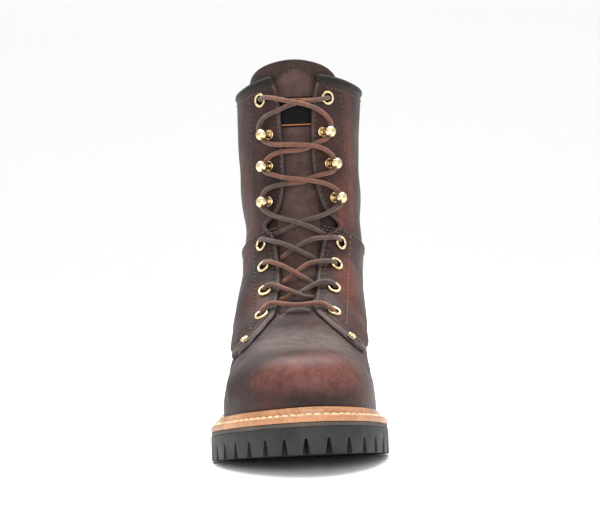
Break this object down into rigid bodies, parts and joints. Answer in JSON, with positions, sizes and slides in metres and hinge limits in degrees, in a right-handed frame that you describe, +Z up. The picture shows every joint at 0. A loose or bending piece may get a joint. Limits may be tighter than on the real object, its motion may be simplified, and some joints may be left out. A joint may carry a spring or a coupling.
{
  "type": "logger boot",
  "caption": "Right lace-up logger boot in oiled brown leather, derby throat with eyelets and speed hooks, tan storm welt and lugged rubber sole with a high heel.",
  "frame": {"origin": "centre of the heel's tread, on the floor", "axes": "+Z up, -Y toward the toe, +X toward the inner side of the foot"},
  "size_m": [0.118, 0.312, 0.2701],
  "materials": {
    "oiled_leather": "oiled pull-up leather, soft sheen",
    "panel_leather": "oiled pull-up leather, reddish, soft sheen",
    "dark_leather": "dark rolled edge, satin",
    "tongue_leather": "soft padded leather, matte",
    "plain_patch": "plain black patch with a stitched border, matte",
    "tan_welt": "tan welt leather, satin",
    "grey_layer": "thin grey-brown layer, matte",
    "black_rubber": "moulded black rubber, matte",
    "board": "plain insole leather, matte",
    "brass": "polished",
    "lace_cord": "woven round lace, two browns, matte"
  },
  "bodies": {
    "root": {"outsole": "black_rubber", "heel": "black_rubber", "midsole": "grey_layer", "welt": "tan_welt", "insole": "board", "upper": "oiled_leather", "quarter_lateral": "panel_leather", "quarter_medial": "panel_leather", "counter": "panel_leather", "backstay": "panel_leather", "collar_binding": "dark_leather", "tongue": "tongue_leather", "tongue_label": "plain_patch", "rivet_lateral": "brass", "rivet_medial": "brass", "eyelet_lateral_1": "brass", "eyelet_lateral_2": "brass", "eyelet_lateral_3": "brass", "eyelet_lateral_4": "brass", "eyelet_lateral_5": "brass", "hook_lateral_1": "brass", "hook_lateral_2": "brass", "hook_lateral_3": "brass", "eyelet_medial_1": "brass", "eyelet_medial_2": "brass", "eyelet_medial_3": "brass", "eyelet_medial_4": "brass", "eyelet_medial_5": "brass", "hook_medial_1": "brass", "hook_medial_2": "brass", "hook_medial_3": "brass", "lace_1": "lace_cord", "lace_2": "lace_cord", "lace_3": "lace_cord", "lace_4": "lace_cord", "lace_5": "lace_cord", "lace_6": "lace_cord", "lace_7": "lace_cord", "lace_8": "lace_cord"}
  },
  "joints": []
}
